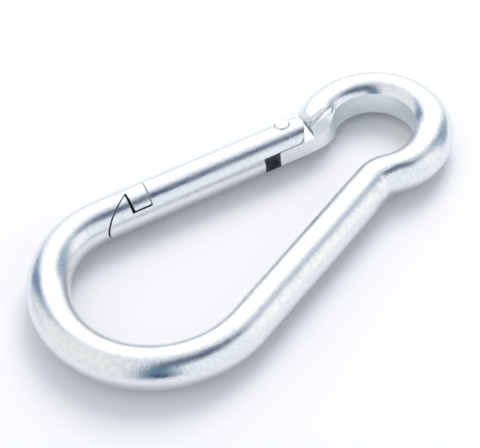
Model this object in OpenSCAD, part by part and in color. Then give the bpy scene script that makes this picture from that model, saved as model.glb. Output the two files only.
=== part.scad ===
// Spring snap hook, bent from one round steel rod.
// The rod makes a large bow, a straight spine, a tight neck and a small eye.
// A sprung gate closes the long side between the nose of the bow and a flat
// tang at the end of the eye. The gate turns on a rivet through that tang.
// Lies flat: Z is up, +X runs from the large bow to the small eye, the gate is
// on the +Y side. Origin: middle of the outline, on the plane it lies on.
// All sizes in millimetres.

/* [Rod] */
// Diameter of the round rod
rod_d = 11; // [10.8:0.1:11.2]

/* [Bow] */
// Centreline radius of the bow on the spine side
bow_r = 27.6; // [27:0.1:28.2]
// Centreline radius of the bow on the gate side, where it is bent tighter
bow_tight_r = 21.7; // [21.2:0.1:22.2]
// Direction, seen from the bow's centre, in which the two radii meet
bow_blend_a = 148.5; // [146:0.5:151]

/* [Eye] */
// Distance between the centres of the bow and the eye
eye_dist = 70.8; // [70:0.1:72]
// Centreline radius of the eye
eye_r = 15.4; // [15.2:0.1:15.6]
// Radius of the flat inner wall pressed into the eye
eye_wall_r = 11.2; // [10.9:0.1:11.4]
// Centreline radius of the short reverse bend at the neck
neck_r = 5.9; // [5.8:0.1:6.4]

/* [Sides] */
// Angle of the spine to the long axis
spine_a = 14.5; // [14:0.1:15]
// Angle of the gate to the long axis
gate_a = 11.8; // [11.4:0.1:12.2]

/* [Latch] */
// Distance from the hinge to the end face of the nose, along the gate
nose_u = 40.5; // [40:0.1:41]
// Lean of that end face, in mm along the gate per mm across it
nose_lean = 0.07; // [0.05:0.01:0.08]
// Length of the barb under the nose
barb_l = 5.0; // [4.6:0.1:5.2]
// How far the barb reaches inward from the gate's axis
barb_v = 4.2; // [3.8:0.1:4.3]
// Where the sloping joint meets the back of the barb
tooth_v = -0.7; // [-0.9:0.1:-0.5]
// Slope of the tooth, in degrees from the gate's axis
tooth_a = 37.5; // [36:0.5:39]
// Gap along the end face of the nose and the slope of the tooth
latch_gap = 0.32; // [0.3:0.01:0.36]
// Wider gap behind the barb, so that the tooth can swing out
tooth_gap = 0.6; // [0.58:0.01:0.7]

/* [Hinge] */
// Thickness of the flat tang
tang_t = 5.0; // [4.8:0.1:5.2]
// Distance from the hinge to the tang's square end
tang_end = 4.0; // [3.9:0.1:4.2]
// Distance from the hinge to the closed end of the fork's slot
slot_end = 8.7; // [8.5:0.1:9]
// Play between the tang and each ear of the fork
fork_play = 0.15; // [0.12:0.01:0.2]
// Distance from the hinge to the shoulder cut across the rod
shoulder_u = 6.3; // [6.2:0.1:6.5]
// Lean of the shoulder, in mm per mm of height
shoulder_lean = 0.5; // [0.4:0.05:0.6]
// Radius of the rounded end of the fork's ears
ear_r = 5.35; // [5.3:0.05:5.4]
// Rivet shank diameter
rivet_d = 3.6; // [3.4:0.1:3.8]
// Rivet head diameter
rivet_head_d = 4.3; // [4.2:0.1:4.5]
// How far the rivet sits outward from the gate's axis
rivet_off = 1.6; // [1.4:0.1:1.7]
// How far each rivet head stands proud of the rod
rivet_proud = 0.25; // [0.15:0.05:0.3]

/* [Spring] */
// Plunger diameter
plunger_d = 3.7; // [3.6:0.1:3.8]
// Distance from the hinge to the back of the plunger
plunger_end = 16; // [15.5:0.5:17]
// Distance from the hinge to the bottom of the spring's bore
bore_end = 30; // [29:0.5:32]
// Spring wire diameter
wire_d = 0.55; // [0.5:0.05:0.6]
// Number of turns in the spring
turns = 9; // [7:1:10]

/* [Hidden] */
$fn = 56;
fit = 0.05;
rr = rod_d / 2;
zc = rr + rivet_proud;
end_gap = 0.05;

// Bow
blend = [cos(bow_blend_a), sin(bow_blend_a)];
tight_c = (bow_r - bow_tight_r) * blend;
spine_p = bow_r * [sin(spine_a), -cos(spine_a)];

// Neck: the spine passes the eye's centre at eye_h, closer than eye_r, so the
// rod first bends back by neck_a and then runs round the eye.
eye_h = bow_r - eye_dist * sin(spine_a);
neck_a = acos((eye_h + neck_r) / (eye_r + neck_r));
neck_run = sqrt(pow(eye_r + neck_r, 2) - pow(eye_h + neck_r, 2));
spine_l = eye_dist * cos(spine_a) - neck_run;
eye_a0 = spine_a - 90 - neck_a;
eye_a1 = 150;

// Gate line, and the hinge on it
gate_p = tight_c + bow_tight_r * [sin(gate_a), cos(gate_a)];
gate_l = 53.6;
hinge = gate_p + gate_l * [cos(gate_a), -sin(gate_a)];
eye_rel = [eye_dist, 0] - hinge;
eye_u = -eye_rel[0] * cos(gate_a) + eye_rel[1] * sin(gate_a);
eye_v = -eye_rel[0] * sin(gate_a) - eye_rel[1] * cos(gate_a);
lip_c = [-5.7, -6.6];
lip_r = 11.41;
lip_t = 8;
tang_v = 4.9;
flat_slope = 0.25;

// Outline, to put the origin in its middle
x_lo = -bow_r - rr;
x_hi = eye_dist + eye_r + rr;
y_lo = -bow_r - rr;
y_hi = tight_c[1] + bow_tight_r + rr;
mid = [(x_lo + x_hi) / 2, (y_lo + y_hi) / 2];

slope = tan(tooth_a);
half_gap = latch_gap / 2 / cos(tooth_a);
barb_end = nose_u + barb_l;
tooth_u = barb_end + tooth_gap;
floor_v = barb_v + latch_gap;
bore_r = plunger_d / 2 + 0.07;
seat_z = 4.1;

// Everything below is drawn about the rod's centre plane.
module place() {
    translate([-mid[0], -mid[1], zc]) children();
}

// Frame of the gate: +X from the hinge to the latch, +Y inward, +Z up.
module gate_frame() {
    place() translate([hinge[0], hinge[1], 0]) rotate([0, 0, 180 - gate_a]) children();
}

module rod(l, slim = 0) {
    rotate([0, 90, 0]) cylinder(h = l, r = rr - slim);
}

// Piece of bent rod round the origin, from angle a0 through angle da. Where two
// pieces meet, the slimmer one runs a little way into the other.
module bend(r, a0, da, slim = 0) {
    rotate([0, 0, a0]) rotate_extrude(angle = da, $fn = r < 10 ? 180 : 90) translate([r, 0]) circle(r = rr - slim);
}

// Flat outline of the tang, in the gate's frame.
module tang_outline() {
    polygon([[-5.7, -5.3], [tang_end, -5.3], [tang_end, tang_v], [-3, tang_v], [-5.7, 4.8]]);
    translate([-8.2, -5.3]) square([5, 6]);
}

// Rounded lip that the tang grows out of, on the inner side of the eye's end.
module lip_outline() {
    intersection() {
        translate(lip_c) circle(r = lip_r);
        translate([-16.4, -2.5]) square([10.9, 7.4]);
    }
}

// What the inner side of the eye's end is trimmed back by, in the gate's frame.
module lip_trim() {
    difference() {
        polygon([
            [-13.5, 0], [-12.5, -3.5], [-5.7, -3.5], [-5.7, 4.8], [-3, tang_v], [14.3, tang_v],
            [14.3, 20.5], [-13.5, 20.5]
        ]);
        translate(lip_c) circle(r = lip_r);
    }
}

// Room for the gate at the latch, in plan.
module latch_room() {
    polygon([
        [nose_u - nose_lean * 9, -9],
        [nose_u + nose_lean * barb_v, barb_v],
        [barb_end - 0.2, barb_v],
        [barb_end, tooth_v - half_gap],
        [barb_end + (9 - tooth_v) / slope, 9 - half_gap],
        [20, 9],
        [20, -9]
    ]);
}

// Room for the nose and its barb, cut out of the gate.
module nose_room() {
    polygon([
        [nose_u - latch_gap - nose_lean * 9, -9],
        [nose_u - latch_gap + nose_lean * floor_v, floor_v],
        [tooth_u, floor_v],
        [tooth_u, tooth_v + tooth_gap * slope + half_gap],
        [tooth_u + (9 - tooth_v) / slope, 9 + tooth_gap * slope + half_gap],
        [70, 9],
        [70, -9]
    ]);
}

module bent_rod() {
    difference() {
        place() {
            bend(bow_r, bow_blend_a, 270 + spine_a - bow_blend_a);
            translate([tight_c[0], tight_c[1], 0])
                bend(bow_tight_r, 88 - gate_a, bow_blend_a - 86 + gate_a, 0.02);
            translate([spine_p[0], spine_p[1], 0]) rotate([0, 0, spine_a]) {
                translate([-0.8, 0, 0]) rod(spine_l + 0.8, 0.02);
                translate([spine_l, -neck_r, 0]) bend(neck_r, 87.5 - neck_a, neck_a + 5, 0.04);
            }
            translate([eye_dist, 0, 0]) bend(eye_r, eye_a0, eye_a1 - eye_a0);
        }
        // Pressed inner wall of the eye
        place() translate([eye_dist, 0, -10]) cylinder(h = 20, r = eye_wall_r);
    }
}

module hook_body() color([0.74, 0.76, 0.79]) difference() {
    union() {
        bent_rod();
        gate_frame() {
            // Nose, from the tangent point of the bow
            translate([nose_u - 1, 0, 0]) rod(gate_l - nose_u + 1);
            translate([0, 0, -tang_t / 2]) linear_extrude(tang_t) tang_outline();
            translate([0, 0, -lip_t / 2]) linear_extrude(lip_t) lip_outline();
        }
    }
    gate_frame() {
        translate([0, 0, -10]) linear_extrude(20) lip_trim();
        // Latch profile, straight through the rod
        translate([0, 0, -10]) linear_extrude(20) latch_room();
        // Shoulders over and under the tang
        for (s = [0, 1]) mirror([0, 0, s]) rotate([90, 0, 0]) translate([0, 0, -12])
            linear_extrude(24) polygon([
                [-shoulder_u, tang_t / 2],
                [-shoulder_u - shoulder_lean * 4, tang_t / 2 + 4],
                [12, tang_t / 2 + 4],
                [12, tang_t / 2]
            ]);
        // Sloping flat forged along the inner side of the rod's end
        for (s = [0, 1]) mirror([0, 0, s]) intersection() {
            linear_extrude(12) polygon([
                [-4, 3.6], [-14.2, -0.5], [-15.4, 1], [-15.4, 9], [-4, 9]
            ]);
            rotate([90, 0, 90]) translate([0, 0, -20]) linear_extrude(20) polygon([
                [4.6, tang_t / 2], [9, tang_t / 2], [9, 12], [-6, 12],
                [-6, tang_t / 2 + flat_slope * 10.6]
            ]);
        }
        // Rivet hole
        translate([0, -rivet_off, -5]) cylinder(h = 10, r = rivet_d / 2 + fit);
    }
}

module gate() color([0.76, 0.78, 0.81]) gate_frame() difference() {
    intersection() {
        translate([-6, 0, 0]) rod(gate_l + 6);
        translate([0, 0, -10]) linear_extrude(20) union() {
            translate([0.15, -0.15]) circle(r = ear_r);
            translate([0.15, -6]) square([gate_l, 12]);
        }
    }
    translate([0, 0, -10]) linear_extrude(20) nose_room();
    // Fork
    translate([-8, -8, -tang_t / 2 - fork_play])
        cube([8 + slot_end, 16, tang_t + 2 * fork_play]);
    // Bore for the plunger and spring
    translate([slot_end - 1, 0, 0]) rotate([0, 90, 0])
        cylinder(h = bore_end - slot_end + 1, r = bore_r);
    // Rivet hole, with a seat for each head
    translate([0, -rivet_off, -8]) cylinder(h = 16, r = rivet_d / 2 + 0.02);
    for (s = [0, 1]) mirror([0, 0, s]) translate([0, -rivet_off, seat_z])
        cylinder(h = 4, r = rivet_head_d / 2 + 0.03);
}

module hinge_rivet() color([0.66, 0.68, 0.71]) gate_frame() translate([0, -rivet_off, 0]) {
    translate([0, 0, -seat_z]) cylinder(h = 2 * seat_z, r = rivet_d / 2);
    for (s = [0, 1]) mirror([0, 0, s]) {
        translate([0, 0, seat_z]) cylinder(h = zc - seat_z - 0.2, r = rivet_head_d / 2);
        translate([0, 0, zc - 0.2])
            cylinder(h = 0.2, r1 = rivet_head_d / 2, r2 = rivet_head_d / 2 - 0.35);
    }
}

module plunger() color([0.62, 0.64, 0.67]) gate_frame() rotate([0, 90, 0]) rotate([0, 0, 90])
    rotate_extrude() intersection() {
        union() {
            translate([0, tang_end + end_gap + plunger_d / 2]) circle(r = plunger_d / 2);
            translate([0, tang_end + end_gap + plunger_d / 2])
                square([plunger_d / 2, plunger_end - tang_end - end_gap - plunger_d / 2 - 0.3]);
            translate([0, plunger_end - 1]) square([plunger_d / 2 - 0.3, 1]);
        }
        translate([0, 0]) square([plunger_d, plunger_end]);
    }

// Helical wire with closed ends, swept as one skin.
module coil(l, r, w, n, steps = 18, sides = 8) {
    total = n * steps;
    function turn_z(i) =
        let (k = i / steps, a = 1.2, free = n - 2 * a,
             closed = w * 1.04, rise = (l - w - 2 * a * closed) / free)
        k < a ? k * closed
        : k > n - a ? l - w - (n - k) * closed
        : a * closed + (k - a) * rise;
    pts = [for (i = [0:total]) for (j = [0:sides - 1])
        let (t = 360 * i / steps, q = 360 * j / sides)
        [(r + w / 2 * cos(q)) * cos(t), (r + w / 2 * cos(q)) * sin(t),
         w / 2 + turn_z(i) + w / 2 * sin(q)]];
    faces = concat(
        [[for (j = [0:sides - 1]) j]],
        [for (i = [0:total - 1]) for (j = [0:sides - 1])
            [i * sides + j, (i + 1) * sides + j,
             (i + 1) * sides + (j + 1) % sides, i * sides + (j + 1) % sides]],
        [[for (j = [sides - 1:-1:0]) total * sides + j]]
    );
    polyhedron(points = pts, faces = faces, convexity = 10);
}

module gate_spring() color([0.55, 0.57, 0.60]) gate_frame()
    translate([plunger_end + 0.02, 0, 0]) rotate([0, 90, 0])
        coil(bore_end - plunger_end - 0.04, plunger_d / 2 - 0.15 - wire_d / 2, wire_d, turns);

hook_body();
gate();
hinge_rivet();
plunger();
gate_spring();
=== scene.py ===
import bpy, bmesh, math
import numpy as np
from mathutils import Vector, Matrix, noise


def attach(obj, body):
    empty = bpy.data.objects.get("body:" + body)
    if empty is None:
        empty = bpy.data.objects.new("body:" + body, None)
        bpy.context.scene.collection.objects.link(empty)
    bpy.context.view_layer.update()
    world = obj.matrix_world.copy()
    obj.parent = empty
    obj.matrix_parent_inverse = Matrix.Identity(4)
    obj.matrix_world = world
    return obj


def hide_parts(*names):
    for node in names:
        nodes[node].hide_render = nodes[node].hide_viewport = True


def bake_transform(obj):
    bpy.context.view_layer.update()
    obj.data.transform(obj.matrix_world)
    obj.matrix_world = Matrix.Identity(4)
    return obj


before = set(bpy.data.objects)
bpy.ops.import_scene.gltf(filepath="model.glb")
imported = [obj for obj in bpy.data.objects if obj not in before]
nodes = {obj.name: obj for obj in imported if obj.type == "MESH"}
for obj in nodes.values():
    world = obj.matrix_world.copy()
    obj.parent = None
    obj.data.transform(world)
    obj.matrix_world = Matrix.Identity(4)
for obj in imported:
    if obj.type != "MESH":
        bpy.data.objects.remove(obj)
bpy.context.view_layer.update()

MM = 0.001

# ------------------------------------------------------------------ camera
cam_data = bpy.data.cameras.new("camera")
cam = bpy.data.objects.new("camera", cam_data)
bpy.context.scene.collection.objects.link(cam)
cam_data.sensor_fit = "HORIZONTAL"
cam_data.sensor_width = 36.0
cam_data.lens = 114.145
cam_data.clip_start = 0.01
cam_data.clip_end = 20.0
right = Vector((0.77733, -0.62422, -0.07813)).normalized()
back = Vector((-0.35688, -0.53984, 0.76237)).normalized()
up = back.cross(right).normalized()
right = up.cross(back).normalized()
M = Matrix((right, up, back)).transposed().to_4x4()
M.translation = Vector((-0.14145, -0.20690, 0.29926))
cam.matrix_world = M
bpy.context.scene.camera = cam

# ------------------------------------------------------------------ helpers
def ramp(nt, stops, interp="LINEAR"):
    n = nt.nodes.new("ShaderNodeValToRGB")
    n.color_ramp.interpolation = interp
    e = n.color_ramp.elements
    while len(e) > 1:
        e.remove(e[-1])
    for i, (p, c) in enumerate(stops):
        el = e[0] if i == 0 else e.new(p)
        el.position = p
        el.color = c if len(c) == 4 else (*c, 1.0)
    return n


def math_node(nt, op, a, b=None, clamp=False):
    n = nt.nodes.new("ShaderNodeMath")
    n.operation = op
    n.use_clamp = clamp
    for i, x in enumerate((a, b)):
        if x is None:
            continue
        if isinstance(x, (int, float)):
            n.inputs[i].default_value = x
        else:
            nt.links.new(x, n.inputs[i])
    return n.outputs[0]


# ------------------------------------------------------------------ floor
def make_floor():
    me = bpy.data.meshes.new("floor")
    s = 3.0
    me.from_pydata([(-s, -s, 0), (s, -s, 0), (s, s, 0), (-s, s, 0)], [], [(0, 1, 2, 3)])
    o = bpy.data.objects.new("floor", me)
    bpy.context.scene.collection.objects.link(o)
    m = bpy.data.materials.new("floor_paper")
    m.use_nodes = True
    b = m.node_tree.nodes["Principled BSDF"]
    b.inputs["Base Color"].default_value = (0.90, 0.89, 0.905, 1)
    b.inputs["Roughness"].default_value = 0.85
    b.inputs["Specular IOR Level"].default_value = 0.2
    me.materials.append(m)
    return o


make_floor()

# ------------------------------------------------------------------ world and lights
world = bpy.data.worlds.new("studio")
bpy.context.scene.world = world
world.use_nodes = True
nt = world.node_tree
nt.nodes.clear()
out = nt.nodes.new("ShaderNodeOutputWorld")
bg = nt.nodes.new("ShaderNodeBackground")
nt.links.new(bg.outputs[0], out.inputs[0])
tc = nt.nodes.new("ShaderNodeTexCoord")


sep = nt.nodes.new("ShaderNodeSeparateXYZ")
nt.links.new(tc.outputs["Generated"], sep.inputs[0])
az = math_node(nt, "ARCTAN2", sep.outputs["Y"], sep.outputs["X"])
el = math_node(nt, "ARCSINE", sep.outputs["Z"])


def window(value, half, soft):
    """1 inside half degrees, 0 outside, with a soft rim."""
    mr = nt.nodes.new("ShaderNodeMapRange")
    mr.interpolation_type = "SMOOTHSTEP"
    nt.links.new(value, mr.inputs["Value"])
    mr.inputs["From Min"].default_value = math.radians(half - soft)
    mr.inputs["From Max"].default_value = math.radians(half + soft)
    mr.inputs["To Min"].default_value = 1.0
    mr.inputs["To Max"].default_value = 0.0
    return mr.outputs["Result"]


def card(base, azimuth, elevation, half_w, half_h, colour, soft=5):
    """A studio card, softbox or dark flag: centre and half sizes in degrees as seen from the object."""
    turn = math_node(nt, "COSINE", math_node(nt, "SUBTRACT", az, math.radians(azimuth)))
    across = window(math_node(nt, "ARCCOSINE", turn), half_w, soft)
    tall = window(math_node(nt, "ABSOLUTE", math_node(nt, "SUBTRACT", el, math.radians(elevation))), half_h, soft)
    mix = nt.nodes.new("ShaderNodeMix")
    mix.data_type = "RGBA"
    nt.links.new(math_node(nt, "MULTIPLY", across, tall), mix.inputs["Factor"])
    nt.links.new(base, mix.inputs[6])
    mix.inputs[7].default_value = (*colour, 1)
    return mix.outputs[2]


room = nt.nodes.new("ShaderNodeRGB")
room.outputs[0].default_value = (0.80, 0.84, 0.90, 1)
sky = room.outputs[0]
sky = card(sky, 160, 25, 45, 45, (0.9, 0.9, 0.88))             # white card, left
sky = card(sky, 285, 20, 45, 35, (0.9, 0.95, 1.0))             # white card, front
sky = card(sky, 318, 15, 12, 30, (1.1, 1.08, 1.04))            # warm white card, front right
sky = card(sky, 350, 20, 16, 30, (0.3, 0.4, 0.5), 8)           # grey card, right
sky = card(sky, 270, 72, 60, 20, (0.10, 0.13, 0.21), 4)             # flag over the camera
sky = card(sky, 227, 25, 15, 35, (0.1, 0.2, 0.3))            # dark gap by the camera
sky = card(sky, 230, 0, 10, 20, (0.02, 0.06, 0.12))              # its lower end
sky = card(sky, 103, 20, 9, 30, (0.1, 0.2, 0.35))              # gap behind, left of the softbox
sky = card(sky, 48, 36, 38, 34, (1.3, 1.3, 1.3), 8)            # large softbox, back right
sky = card(sky, 60, 0, 75, 6, (0.45, 0.52, 0.6), 4)            # dim edge of the table behind
nt.links.new(sky, bg.inputs["Color"])
bg.inputs["Strength"].default_value = 1.06


def area(name, loc, target, sx, sy, power, colour=(1, 1, 1)):
    l = bpy.data.lights.new(name, "AREA")
    l.shape = "RECTANGLE"
    l.size, l.size_y = sx, sy
    l.energy = power
    l.color = colour
    o = bpy.data.objects.new(name, l)
    bpy.context.scene.collection.objects.link(o)
    o.location = loc
    d = Vector(target) - Vector(loc)
    o.rotation_euler = d.to_track_quat("-Z", "Y").to_euler()
    return o


area("softbox_back", (0.58, 0.38, 0.75), (0, 0, 0), 0.5, 0.5, 4.6, (1.0, 0.985, 0.955)).visible_glossy = False

# ------------------------------------------------------------------ materials
def zinc(name, tint=(0.80, 0.82, 0.845), rough=(0.07, 0.17), seed=0.0, bump=0.10, grain=0.5, edge=0.00016, mottled=0.05):
    """Bright zinc plate on drawn steel: lengthwise drawing marks, fine pits, cloudy gloss."""
    m = bpy.data.materials.new(name)
    m.use_nodes = True
    nt = m.node_tree
    b = nt.nodes["Principled BSDF"]
    b.inputs["Metallic"].default_value = 1.0
    L = nt.links.new
    tc = nt.nodes.new("ShaderNodeTexCoord")
    mp = nt.nodes.new("ShaderNodeMapping")
    mp.inputs["Location"].default_value = (seed, seed * 0.7, seed * 1.3)
    L(tc.outputs["Object"], mp.inputs["Vector"])
    uv = nt.nodes.new("ShaderNodeUVMap")
    uv.uv_map = "rod_uv"
    um = nt.nodes.new("ShaderNodeMapping")
    um.inputs["Scale"].default_value = (18.0, 95.0, 1.0)
    um.inputs["Location"].default_value = (seed * 3.1, 0.0, 0.0)
    L(uv.outputs["UV"], um.inputs["Vector"])

    def nz(vec, scale, detail=4.0, rough_=0.6):
        n = nt.nodes.new("ShaderNodeTexNoise")
        n.inputs["Scale"].default_value = scale
        n.inputs["Detail"].default_value = detail
        n.inputs["Roughness"].default_value = rough_
        L(vec, n.inputs["Vector"])
        return n.outputs["Fac"]

    cloud = nz(mp.outputs["Vector"], 170, 5.0)
    pits = nz(mp.outputs["Vector"], 2600, 3.0)
    fine = nz(mp.outputs["Vector"], 900, 4.0, 0.7)
    draw = nz(um.outputs["Vector"], 1.0, 5.0, 0.7)
    r = ramp(nt, [(0.32, (rough[0],) * 3), (0.68, (rough[1],) * 3)])
    L(cloud, r.inputs[0])
    L(r.outputs["Color"], b.inputs["Roughness"])
    c = ramp(nt, [(0.28, tuple(x * (1 - mottled) for x in tint)), (0.5, tint),
                  (0.72, tuple(min(1, x * (1 + mottled * 0.6)) for x in tint))])
    L(fine, c.inputs[0])
    L(c.outputs["Color"], b.inputs["Base Color"])
    h = math_node(nt, "ADD", math_node(nt, "MULTIPLY", draw, grain), math_node(nt, "MULTIPLY", pits, 0.35))
    h = math_node(nt, "ADD", h, math_node(nt, "MULTIPLY", fine, 0.6))
    bp = nt.nodes.new("ShaderNodeBump")
    bp.inputs["Strength"].default_value = bump
    bp.inputs["Distance"].default_value = 0.0002
    L(h, bp.inputs["Height"])
    if edge:
        bv = nt.nodes.new("ShaderNodeBevel")
        bv.samples = 6
        bv.inputs["Radius"].default_value = edge
        L(bv.outputs["Normal"], bp.inputs["Normal"])
    L(bp.outputs["Normal"], b.inputs["Normal"])
    return m


M_ROD = zinc("zinc_rod", rough=(0.12, 0.27), bump=0.27, grain=0.7, mottled=0.09)
M_GATE = zinc("zinc_gate", seed=0.31, rough=(0.12, 0.27), bump=0.27, grain=0.7, mottled=0.09)
M_CUT = zinc("zinc_machined", tint=(0.78, 0.82, 0.845), rough=(0.12, 0.24), seed=0.5, bump=0.08)
# the forged flats and flange: rough forged finish, and a near-white tint that is painted light, lifting the shade
# they reflect
M_FORGED_PAINTED_LIGHT = zinc("zinc_forged_painted_light", tint=(0.93, 0.95, 0.965), rough=(0.34, 0.5), seed=0.9, bump=0.3, mottled=0.09, edge=0.0004)
# the eye's pressed wall: rougher pressed finish, and a near-white bluish tint that is a painted reflection of the lit
# floor inside the eye
M_WALL_PAINTED_LIGHT = zinc("zinc_pressed_painted_light", tint=(0.93, 0.985, 1.0), rough=(0.3, 0.48), seed=1.3, bump=0.12, mottled=0.06, edge=0.0004)
M_RIVET = zinc("zinc_rivet", tint=(0.84, 0.845, 0.85), rough=(0.14, 0.3), seed=0.7, bump=0.16)
# painted shade: the fork's and bore's inner faces get a dark zinc tint that stands in for the shade inside them
M_BORE_PAINTED_SHADE = zinc("zinc_bore_painted_shade", tint=(0.30, 0.34, 0.38), rough=(0.34, 0.5), seed=0.6, bump=0.2, mottled=0.12)
# painted shade: the plunger pin gets a dark tint for the shade in the gate's slot
M_PIN_PAINTED_SHADE = zinc("steel_pin_painted_shade", tint=(0.34, 0.36, 0.38), rough=(0.22, 0.36), seed=0.2, edge=0)
M_SPRING = zinc("steel_spring", tint=(0.52, 0.53, 0.55), rough=(0.22, 0.36), seed=0.15, edge=0)
for n, m in (("plunger", M_PIN_PAINTED_SHADE), ("gate_spring", M_SPRING), ("hook_body", M_ROD), ("gate", M_GATE), ("hinge_rivet", M_RIVET)):
    o = nodes[n]
    o.data.materials.clear()
    o.data.materials.append(m)

# ------------------------------------------------------------------ shape, in millimetres
D = math.radians
RR, ZC = 5.5, 5.75
BOW_R, TIGHT_R, BLEND_A, EYE_D, EYE_R, WALL_R, NECK_R = 27.6, 21.7, 148.5, 70.8, 15.4, 11.2, 5.9
SPINE_A, GATE_A, GATE_L = 14.5, 11.8, 53.6
tight_c = (BOW_R - TIGHT_R) * np.array((math.cos(D(BLEND_A)), math.sin(D(BLEND_A))))
spine_p = BOW_R * np.array((math.sin(D(SPINE_A)), -math.cos(D(SPINE_A))))
eye_h = BOW_R - EYE_D * math.sin(D(SPINE_A))
neck_a = math.degrees(math.acos((eye_h + NECK_R) / (EYE_R + NECK_R)))
neck_run = math.sqrt((EYE_R + NECK_R) ** 2 - (eye_h + NECK_R) ** 2)
spine_l = EYE_D * math.cos(D(SPINE_A)) - neck_run
eye_a0 = SPINE_A - 90 - neck_a
gate_p = tight_c + TIGHT_R * np.array((math.sin(D(GATE_A)), math.cos(D(GATE_A))))
hinge = gate_p + GATE_L * np.array((math.cos(D(GATE_A)), -math.sin(D(GATE_A))))
mid = np.array(((-BOW_R - RR + EYE_D + EYE_R + RR) / 2, (-BOW_R - RR + tight_c[1] + TIGHT_R + RR) / 2))
GU = np.array((-math.cos(D(GATE_A)), math.sin(D(GATE_A))))
GV = np.array((-math.sin(D(GATE_A)), -math.cos(D(GATE_A))))
EYE_C = np.array((EYE_D, 0.0)) - mid
RIV = hinge - mid - 1.6 * GV
er = np.array((EYE_D, 0.0)) - hinge
EYE_UV = np.array((er @ GU, er @ GV))


def g2w(u, v, z=0.0):
    q = hinge - mid + u * GU + v * GV
    return (q[0], q[1], ZC + z)


def centreline():
    """Points of the rod's axis in plan, with the direction there, from the nose round to the eye's end."""
    pts = []

    def line(p, a, l, step):
        n = max(2, int(round(l / step)))
        for i in range(n):
            t = l * i / n
            pts.append((p[0] + t * math.cos(D(a)), p[1] + t * math.sin(D(a)), a))

    def arc(c, r, a0, a1, step, sgn=1):
        n = max(3, int(round(abs(D(a1 - a0)) * (r if r > 8 else 9) / step)))
        for i in range(n):
            a = a0 + (a1 - a0) * i / n
            pts.append((c[0] + r * math.cos(D(a)), c[1] + r * math.sin(D(a)), a + 90 * sgn))

    st = 0.5
    p0 = hinge + GU * 38.5
    line(p0, 180 - GATE_A, GATE_L - 38.5, st)
    arc(tight_c, TIGHT_R, 90 - GATE_A, BLEND_A, st)
    arc((0, 0), BOW_R, BLEND_A, 270 + SPINE_A, st)
    line(spine_p, SPINE_A, spine_l, st)
    t = np.array((math.cos(D(SPINE_A)), math.sin(D(SPINE_A))))
    n = np.array((-t[1], t[0]))
    arc(spine_p + t * spine_l - n * NECK_R, NECK_R, 90 + SPINE_A, 90 + SPINE_A - neck_a, st * 0.8, -1)
    arc((EYE_D, 0), EYE_R, eye_a0, 150, st)
    a = 150
    pts.append((EYE_D + EYE_R * math.cos(D(a)), EYE_R * math.sin(D(a)), a + 90))
    return [(x - mid[0], y - mid[1], an) for x, y, an in pts]


def noise3(p, f, seed=0.0):
    return noise.noise(Vector((p[0] * f + seed, p[1] * f - seed * 0.6, p[2] * f + seed * 0.3)))


def sweep(name, pts, ring_n=72, disp=None, caps=True):
    n = len(pts)
    P = np.zeros((n, ring_n, 3))
    NN = np.zeros((n, ring_n, 3))
    S = np.zeros(n)
    for i, (x, y, a) in enumerate(pts):
        tx, ty = math.cos(D(a)), math.sin(D(a))
        N = np.array((ty, -tx, 0.0))
        if i:
            S[i] = S[i - 1] + math.hypot(x - pts[i - 1][0], y - pts[i - 1][1])
        for j in range(ring_n):
            f = 2 * math.pi * j / ring_n
            d = math.cos(f) * N + math.sin(f) * np.array((0, 0, 1.0))
            NN[i, j] = d
            P[i, j] = np.array((x, y, ZC)) + RR * d
    if disp:
        P = disp(P, NN, S)
    verts = [tuple(v) for v in P.reshape(-1, 3)]
    faces, uvs = [], []
    for i in range(n - 1):
        for j in range(ring_n):
            k = (j + 1) % ring_n
            faces.append((i * ring_n + j, i * ring_n + k, (i + 1) * ring_n + k, (i + 1) * ring_n + j))
            v0, v1 = j / ring_n, (j + 1) / ring_n
            uvs.append(((S[i], v0), (S[i], v1), (S[i + 1], v1), (S[i + 1], v0)))
    if caps:
        faces.append(tuple(range(ring_n - 1, -1, -1)))
        uvs.append(tuple((S[0], 0.0) for _ in range(ring_n)))
        faces.append(tuple((n - 1) * ring_n + j for j in range(ring_n)))
        uvs.append(tuple((S[-1], 0.0) for _ in range(ring_n)))
    return raw(name, verts, faces, uvs)


def raw(name, verts, faces, uvs=None):
    me = bpy.data.meshes.new(name)
    me.from_pydata(verts, [], faces)
    lay = me.uv_layers.new(name="rod_uv")
    if uvs:
        flat = [c for f in uvs for c in f]
        for i, c in enumerate(flat):
            lay.data[i].uv = (c[0] * 0.01, c[1])
    bm = bmesh.new()
    bm.from_mesh(me)
    bmesh.ops.recalc_face_normals(bm, faces=bm.faces)
    bm.to_mesh(me)
    bm.free()
    o = bpy.data.objects.new(name, me)
    bpy.context.scene.collection.objects.link(o)
    return o


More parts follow.
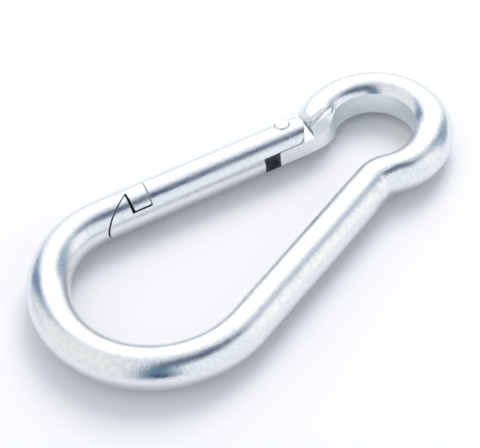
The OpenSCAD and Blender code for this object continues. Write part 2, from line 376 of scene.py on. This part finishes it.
def prism(name, outline, z0, z1, chamfer=0.0, frame_uv=True):
    """Upright prism over an outline; a chamfer rounds its upper and lower edges (convex outlines)."""
    pts = np.array([g2w(u, v)[:2] if frame_uv else (u, v) for u, v in outline])
    area2 = sum(pts[i][0] * pts[(i + 1) % len(pts)][1] - pts[(i + 1) % len(pts)][0] * pts[i][1] for i in range(len(pts)))
    if area2 < 0:
        pts = pts[::-1]
    n = len(pts)
    rows = [(z0, 0.0), (z1, 0.0)]
    if chamfer:
        c = chamfer
        rows = [(z0, c), (z0 + c * 0.13, c * 0.5), (z0 + c * 0.5, c * 0.13), (z0 + c, 0.0),
                (z1 - c, 0.0), (z1 - c * 0.5, c * 0.13), (z1 - c * 0.13, c * 0.5), (z1, c)]
    verts = []
    for z, ins in rows:
        for i in range(n):
            a, b, c2 = pts[i - 1], pts[i], pts[(i + 1) % n]
            e1 = (b - a) / max(1e-9, np.linalg.norm(b - a))
            e2 = (c2 - b) / max(1e-9, np.linalg.norm(c2 - b))
            m = np.array((-(e1[1] + e2[1]), e1[0] + e2[0]))
            m = m / max(0.5, np.linalg.norm(m)) if np.linalg.norm(m) > 1e-9 else m
            verts.append((b[0] + m[0] * ins, b[1] + m[1] * ins, z))
    faces = []
    for r in range(len(rows) - 1):
        for i in range(n):
            k = (i + 1) % n
            faces.append((r * n + i, r * n + k, (r + 1) * n + k, (r + 1) * n + i))
    faces.append(tuple(range(n - 1, -1, -1)))
    faces.append(tuple((len(rows) - 1) * n + i for i in range(n)))
    return raw(name, verts, faces)


def circle(c, r, n=96):
    return [(c[0] + r * math.cos(2 * math.pi * i / n), c[1] + r * math.sin(2 * math.pi * i / n)) for i in range(n)]


def clip(subject, clipper):
    """Convex outline kept inside another convex outline (both anticlockwise)."""
    out = list(subject)
    for i in range(len(clipper)):
        a, b = clipper[i], clipper[(i + 1) % len(clipper)]
        inp, out = out, []

        def side(p):
            return (b[0] - a[0]) * (p[1] - a[1]) - (b[1] - a[1]) * (p[0] - a[0])
        for j in range(len(inp)):
            p, q = inp[j - 1], inp[j]
            sp, sq = side(p), side(q)
            if (sp >= 0) != (sq >= 0):
                t = sp / (sp - sq)
                out.append((p[0] + t * (q[0] - p[0]), p[1] + t * (q[1] - p[1])))
            if sq >= 0:
                out.append(q)
    clean = []
    for p in out:
        if not clean or math.hypot(p[0] - clean[-1][0], p[1] - clean[-1][1]) > 1e-3:
            clean.append(p)
    if math.hypot(clean[0][0] - clean[-1][0], clean[0][1] - clean[-1][1]) < 1e-3:
        clean.pop()
    return clean


def wedge(name, profile, v0, v1):
    """Prism along the gate frame's V, over a (u, z) profile."""
    n = len(profile)
    verts = [g2w(u, v0, z) for u, z in profile] + [g2w(u, v1, z) for u, z in profile]
    faces = [(i, (i + 1) % n, n + (i + 1) % n, n + i) for i in range(n)]
    faces += [tuple(range(n - 1, -1, -1)), tuple(range(n, 2 * n))]
    return raw(name, verts, faces)


def combine(base, steps, mats):
    for m in mats:
        base.data.materials.append(m)
    for o, op, slot in steps:
        o.data.materials.append(mats[slot])
        b = base.modifiers.new(o.name, "BOOLEAN")
        b.operation = op
        b.solver = "EXACT"
        b.object = o
        b.material_mode = "TRANSFER"
    dg = bpy.context.evaluated_depsgraph_get()
    me = bpy.data.meshes.new_from_object(base.evaluated_get(dg))
    base.modifiers.clear()
    old = base.data
    base.data = me
    for o, _, _ in steps:
        bpy.data.objects.remove(o, do_unlink=True)
    bm = bmesh.new()
    bm.from_mesh(me)
    bmesh.ops.remove_doubles(bm, verts=bm.verts, dist=2e-3)
    bmesh.ops.dissolve_degenerate(bm, dist=1e-3, edges=bm.edges)
    for v in bm.verts:
        v.co *= MM
    for f in bm.faces:
        f.smooth = True
    for e in bm.edges:
        if len(e.link_faces) == 2:
            e.smooth = e.calc_face_angle(0.0) < D(26)
    bm.to_mesh(me)
    bm.free()
    return base

# ------------------------------------------------------------------ the forged body
neck_c = spine_p + np.array((math.cos(D(SPINE_A)), math.sin(D(SPINE_A)))) * spine_l \
    - np.array((-math.sin(D(SPINE_A)), math.cos(D(SPINE_A)))) * NECK_R - mid


def forge(P, NN, S):
    """Hammered rod: slight waviness everywhere, a wrinkled saddle where the neck is bent back."""
    dx, dy = P[:, :, 0] - neck_c[0], P[:, :, 1] - neck_c[1]
    d = np.hypot(dx, dy)
    w = np.clip((6.2 - d) / 3.6, 0, 1)
    w = (w * w * (3 - 2 * w))[:, :, None]
    for _ in range(40):
        avg = (np.roll(P, 1, 1) + np.roll(P, -1, 1)) * 0.25
        avg[1:-1] += (P[2:] + P[:-2]) * 0.25
        avg[0], avg[-1] = P[0], P[-1]
        P = P + 0.7 * w * (avg - P)
    # smoothed along the rod only, so a web fills the inside of the bend
    dx, dy = P[:, :, 0] - neck_c[0], P[:, :, 1] - neck_c[1]
    web = np.clip((7.4 - np.hypot(dx, dy)) / 4.2, 0, 1)
    web = (web * web * (3 - 2 * web))[:, :, None]
    for _ in range(130):
        P[1:-1] += 0.5 * web[1:-1] * ((P[2:] + P[:-2]) * 0.5 - P[1:-1])
    # the end of the eye is pressed wider towards the hole, beside the lip
    out = P.mean(axis=1)[:, :2] - EYE_C
    turn = np.degrees(np.arctan2(out[:, 1], out[:, 0]))
    out = out / np.linalg.norm(out, axis=1)[:, None]
    f = np.clip((turn - 108) / 26, 0, 1) * (np.arange(len(S)) > len(S) * 0.8)
    f = (f * f * (3 - 2 * f))[:, None]
    inner = np.clip(-(NN[:, :, 0] * out[:, 0:1] + NN[:, :, 1] * out[:, 1:2]), 0, 1)
    P[:, :, :2] -= out[:, None, :] * (1.7 * f * inner)[:, :, None]
    n, m, _ = P.shape
    for i in range(n):
        for j in range(m):
            p = P[i, j]
            k = 0.030 * noise3(p, 0.11) + 0.014 * noise3(p, 0.33, 3.0) + 0.006 * noise3(p, 1.1, 5.0)
            ww = w[i, j, 0]
            if ww > 0:
                k += ww * (0.10 * noise3(p, 0.45, 9.0) + 0.07 * noise3(p, 1.0, 2.0))
            if web[i, j, 0] > 0:
                lap = 0.5 * noise3(p, 0.6, 4.0)
                side = min(1.0, max(0.0, (0.5 - NN[i, j, 2]) / 0.4))
                for s0, h in ((S_BEND[0] - 1.0, 0.16), (S_BEND[1] + 1.0, 0.2), (S_BEND[1] + 1.9, 0.09)):
                    k += side * web[i, j, 0] * h * math.exp(-((S[i] - s0 + lap) / 0.42) ** 2)
            P[i, j] = p + NN[i, j] * k
    return P


def bend_span():
    """Where along the rod the neck's bend starts and ends."""
    s, prev, got = 0.0, None, []
    for x, y, a in centreline():
        if prev is not None:
            s += math.hypot(x - prev[0], y - prev[1])
        prev = (x, y)
        d = math.hypot(x - neck_c[0], y - neck_c[1])
        if abs(d - NECK_R) < 0.02:
            got.append(s)
    return got[0], got[-1]


S_BEND = bend_span()
LIP_C, LIP_R = (-5.7, -6.6), 11.4


def lip_outline():
    return clip(circle(LIP_C, LIP_R, 240), [(-16.4, -2.5), (-5.4, -2.5), (-5.4, 5.3), (-16.4, 5.3)])


def lip_trim():
    """Room beside the lip and the tang: one smooth outer curve for both."""
    arc = []
    for i in range(49):
        u = -13.5 + 7.7 * i / 48
        arc.append((u, LIP_C[1] + math.sqrt((LIP_R + 0.015) ** 2 - (u - LIP_C[0]) ** 2)))
    return [(14.3, 20.5), (-13.5, 20.5)] + arc + [(-5.0, 4.828), (-4.0, 4.864), (-3, 4.9), (14.3, 4.9)]


NOSE_U, LEAN, BARB_L, BARB_V, TOOTH_V, TOOTH_A, GAP, TGAP = 40.5, 0.07, 5.0, 4.2, -0.7, 37.5, 0.32, 0.6
SLOPE = math.tan(D(TOOTH_A))
HALF = GAP / 2 / math.cos(D(TOOTH_A))
BE = NOSE_U + BARB_L
latch_room = [(NOSE_U - LEAN * 9, -9), (NOSE_U + LEAN * BARB_V, BARB_V), (BE - 0.2, BARB_V), (BE, TOOTH_V - HALF),
              (BE + (9 - TOOTH_V) / SLOPE, 9 - HALF), (20, 9), (20, -9)]
TU, FV = BE + TGAP, BARB_V + GAP
nose_room = [(NOSE_U - GAP - LEAN * 9, -9), (NOSE_U - GAP + LEAN * FV, FV), (TU, FV),
             (TU, TOOTH_V + TGAP * SLOPE + HALF), (TU + (9 - TOOTH_V) / SLOPE, 9 + TGAP * SLOPE + HALF),
             (70, 9), (70, -9)]
GROOVE = [(-6.6, 1.8), (-14.2, -1.4), (-15.0, -0.4), (-6.7, 2.15)]
STEP = [(-4, 2.7), (-14.2, -1.4), (-15.4, 0.1), (-15.4, 9), (-4, 9)]


def sloping_flat(name, sgn, plan, sink=0.0):
    """Cutter over the forged flat: upright sides, and a floor that rises away from the flange."""
    n = len(plan)
    # the floor is split at the line where it meets the tang's face
    pts = []
    for i in range(n):
        (u0, v0), (u1, v1) = plan[i], plan[(i + 1) % n]
        pts.append((u0, v0))
        if (v0 - 4.75) * (v1 - 4.75) < 0:
            t = (4.75 - v0) / (v1 - v0)
            pts.append((u0 + t * (u1 - u0), 4.75))
    z = [min(5.0, max(2.5, 2.5 + 0.48 * (4.75 - v))) - sink for u, v in pts]
    m = len(pts)
    verts = [g2w(u, v, sgn * zz) for (u, v), zz in zip(pts, z)] + [g2w(u, v, sgn * 12) for u, v in pts]
    faces = [(i, (i + 1) % m, m + (i + 1) % m, m + i) for i in range(m)]
    low_part = [i for i, (u, v) in enumerate(pts) if v <= 4.75 + 1e-6]
    high_part = [i for i, (u, v) in enumerate(pts) if v >= 4.75 - 1e-6]
    faces += [tuple(part) for part in (low_part, high_part) if len(part) > 2] + [tuple(m + i for i in range(m))]
    return raw(name, verts, faces)


def rolled_edge(name, sgn, r=1.3, low=4.25):
    """Cutter that rounds the upper edge of the step beside the lip."""
    a, b = np.array(STEP[0], float), np.array(STEP[1], float)
    d = (b - a) / np.linalg.norm(b - a)
    n = np.array((d[1], -d[0]))
    if n[1] > 0:
        n = -n
    prof = [(-0.4, low)] + [(r - r * math.cos(D(t)), low + r * math.sin(D(t))) for t in range(0, 91, 6)]
    prof += [(r + 0.5, low + r + 0.04), (r + 0.5, 12), (-0.4, 12)]
    ends = [a, b + d * 0.3]
    m = len(prof)
    verts = [g2w(*(e + n * t), sgn * z) for e in ends for t, z in prof]
    faces = [(i, (i + 1) % m, m + (i + 1) % m, m + i) for i in range(m)]
    faces += [tuple(range(m - 1, -1, -1)), tuple(range(m, 2 * m))]
    return raw(name, verts, faces)


shoulder = [(-6.3, 2.5), (-8.3, 6.5), (12, 6.5), (12, 2.5)]


def hook_forging():
    base = sweep("hook_forging", centreline(), 80, forge)
    zl, zh = ZC - 2.5, ZC + 2.5
    S = [
        (prism("eye_wall", circle(EYE_C, WALL_R, 160), -6, 18, frame_uv=False), "DIFFERENCE", 3),
        (prism("tang_a", [(-5.9, -5.3), (4, -5.3), (4, 5.3), (-5.9, 5.3)], zl, zh), "UNION", 2),
        (prism("tang_b", [(-8.2, -5.3), (-3.2, -5.3), (-3.2, 0.7), (-8.2, 0.7)], zl + 0.004, zh - 0.004), "UNION", 1),
        (prism("lip", lip_outline(), ZC - 4, ZC + 4), "UNION", 2),
        (prism("lip_trim", lip_trim(), -6, 18), "DIFFERENCE", 2),
        (prism("latch_cut", latch_room, -6, 18), "DIFFERENCE", 1),
        (wedge("shoulder_top", shoulder, -12, 12), "DIFFERENCE", 1),
        (wedge("shoulder_low", [(u, -z) for u, z in shoulder], -12, 12), "DIFFERENCE", 1),
        (sloping_flat("step_top", 1, STEP), "DIFFERENCE", 2),
        (sloping_flat("step_low", -1, STEP), "DIFFERENCE", 2),
        (rolled_edge("edge_top", 1), "DIFFERENCE", 0),
        (rolled_edge("edge_low", -1), "DIFFERENCE", 0),
        (sloping_flat("groove_top", 1, GROOVE, 0.5), "DIFFERENCE", 0),
        (sloping_flat("groove_low", -1, GROOVE, 0.5), "DIFFERENCE", 0),
        (facet(1), "DIFFERENCE", 1),
        (prism("rivet_hole", circle((0, -1.6), 1.85, 48), -6, 18), "DIFFERENCE", 1),
    ]
    return combine(base, S, [M_ROD, M_CUT, M_FORGED_PAINTED_LIGHT, M_WALL_PAINTED_LIGHT])


def facet(sgn):
    """Half space that takes a small oval flat off the outer side of the rod's end."""
    c = np.array(g2w(-10.6, -7.2, 0))
    out = np.array((c[0] - EYE_C[0], c[1] - EYE_C[1], 0.0))
    out /= np.linalg.norm(out)
    n = out * math.cos(D(50)) + np.array((0, 0, math.sin(D(50))))
    axis_pt = np.array((EYE_C[0], EYE_C[1], ZC)) + out * EYE_R
    p = axis_pt + n * (RR - 0.055)
    t = np.cross(n, (0, 0, 1.0))
    t /= np.linalg.norm(t)
    b = np.cross(n, t)
    verts = [tuple(p + n * h + t * x + b * y) for h in (0, 3) for x, y in ((-5, -5), (5, -5), (5, 5), (-5, 5))]
    return raw("facet", verts, [(0, 1, 2, 3), (4, 5, 6, 7), (0, 1, 5, 4), (1, 2, 6, 5), (2, 3, 7, 6), (3, 0, 4, 7)])


def gate_shell():
    a = 180 - GATE_A
    n = 120
    p0, p1 = hinge + GU * -6 - mid, hinge + GU * (GATE_L - 0.05) - mid
    pts = [tuple(p0 + (p1 - p0) * i / n) + (a,) for i in range(n + 1)]

    def wave(P, NN, S):
        for i in range(P.shape[0]):
            for j in range(P.shape[1]):
                p = P[i, j]
                P[i, j] = p + NN[i, j] * (0.016 * noise3(p, 0.12, 7.0) - 0.012 + 0.006 * noise3(p, 0.5, 1.0))
        return P
    base = sweep("gate_shell", pts, 80, wave)
    ear = [(0.15, 8), (0.15, 5.2)] + [(0.15 - 5.35 * math.sin(D(t)), -0.15 + 5.35 * math.cos(D(t))) for t in range(4, 180, 4)] \
        + [(0.15, -5.5), (0.15, -8), (-8, -8), (-8, 8)]
    bore = sweep("bore", [tuple(hinge - mid + GU * u) + (a,) for u in (7.7, 30.0)], 48,
                 lambda P, NN, S: P - NN * (RR - 1.92))
    S = [
        (prism("ears", ear, -6, 18), "DIFFERENCE", 0),
        (prism("nose_room", nose_room, -6, 18), "DIFFERENCE", 1),
        # the fork and bore faces take slot 2, the dark tint of painted shade
        (prism("fork", [(-8, -8), (8.7, -8), (8.7, 8), (-8, 8)], ZC - 2.65, ZC + 2.65), "DIFFERENCE", 2),
        (bore, "DIFFERENCE", 2),
        (prism("hole", circle((0, -1.6), 1.82, 48), -6, 18), "DIFFERENCE", 1),
        (prism("seat_top", circle((0, -1.6), 2.18, 48), ZC + 4.1, 18), "DIFFERENCE", 1),
        (prism("seat_low", circle((0, -1.6), 2.18, 48), -6, ZC - 4.1), "DIFFERENCE", 1),
    ]
    return combine(base, S, [M_GATE, M_CUT, M_BORE_PAINTED_SHADE])


def rivet():
    """Peened rivet: slightly domed heads with an uneven rim."""
    seg = 64
    prof = [(0.0, 5.75), (0.9, 5.745), (1.45, 5.72), (1.8, 5.64), (2.02, 5.5), (2.13, 5.3), (2.15, 5.0), (2.15, 4.1),
            (1.8, 4.1), (1.8, 0.0)]
    rows = prof + [(r, -z) for r, z in prof[::-1]]
    verts, faces = [], []
    for k, (r, z) in enumerate(rows):
        for i in range(seg):
            t = 2 * math.pi * i / seg
            q = (RIV[0] + r * math.cos(t), RIV[1] + r * math.sin(t), ZC + z)
            if 0.5 < r and abs(z) > 5.2:
                j = 0.05 * noise3(q, 1.3, 4.0)
                q = (q[0], q[1], q[2] - abs(j) * (1 if z > 0 else -1))
            verts.append(q)
    for k in range(len(rows) - 1):
        for i in range(seg):
            j = (i + 1) % seg
            faces.append((k * seg + i, k * seg + j, (k + 1) * seg + j, (k + 1) * seg + i))
    o = raw("rivet_peened", verts, faces)
    bm = bmesh.new()
    bm.from_mesh(o.data)
    bmesh.ops.remove_doubles(bm, verts=bm.verts, dist=1e-4)
    bmesh.ops.recalc_face_normals(bm, faces=bm.faces)
    for v in bm.verts:
        v.co *= MM
    for f in bm.faces:
        f.smooth = True
    for e in bm.edges:
        if len(e.link_faces) == 2:
            e.smooth = e.calc_face_angle(0.0) < D(50)
    bm.to_mesh(o.data)
    bm.free()
    o.data.materials.append(M_RIVET)
    return o


def coil_spring():
    """Compression spring with closed ends, along the bore from the plunger to the bore's end."""
    wire, n, length, first = 0.55, 9, 13.96, 16.02
    r, steps, sides, a, closed = 3.7 / 2 - 0.15 - wire / 2, 28, 12, 1.2, wire * 1.04
    rise = (length - wire - 2 * a * closed) / (n - 2 * a)
    total = n * steps
    verts = []
    for i in range(total + 1):
        k = i / steps
        h = k * closed if k < a else length - wire - (n - k) * closed if k > n - a else a * closed + (k - a) * rise
        t = 2 * math.pi * k
        for j in range(sides):
            q = 2 * math.pi * j / sides
            rad = r + wire / 2 * math.cos(q)
            verts.append(g2w(first + wire / 2 + h + wire / 2 * math.sin(q), rad * math.sin(t), rad * math.cos(t)))
    faces, uvs = [], []
    for i in range(total):
        for j in range(sides):
            k = (j + 1) % sides
            faces.append((i * sides + j, (i + 1) * sides + j, (i + 1) * sides + k, i * sides + k))
            s0, s1 = i * 2 * math.pi * r / steps, (i + 1) * 2 * math.pi * r / steps
            uvs.append(((s0, j / sides), (s1, j / sides), (s1, (j + 1) / sides), (s0, (j + 1) / sides)))
    for face in (tuple(range(sides)), tuple(total * sides + j for j in range(sides))):
        faces.append(face)
        uvs.append(tuple((0.0, 0.0) for _ in face))
    o = raw("coil_spring", verts, faces, uvs)
    for v in o.data.vertices:
        v.co *= MM
    for f in o.data.polygons:
        f.use_smooth = len(f.vertices) == 4
    o.data.materials.append(M_SPRING)
    return o


body_piece = hook_forging()
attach(body_piece, "body")
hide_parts("hook_body")
gate_piece = gate_shell()
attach(gate_piece, "gate")
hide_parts("gate")
rivet_piece = rivet()
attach(rivet_piece, "gate")
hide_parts("hinge_rivet")
spring_piece = coil_spring()
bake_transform(spring_piece)
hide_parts("gate_spring")

# ------------------------------------------------------------------ look
sc = bpy.context.scene
sc.view_settings.view_transform = "Standard"
sc.view_settings.look = "None"
sc.view_settings.exposure = 0.0
sc.view_settings.gamma = 1.0
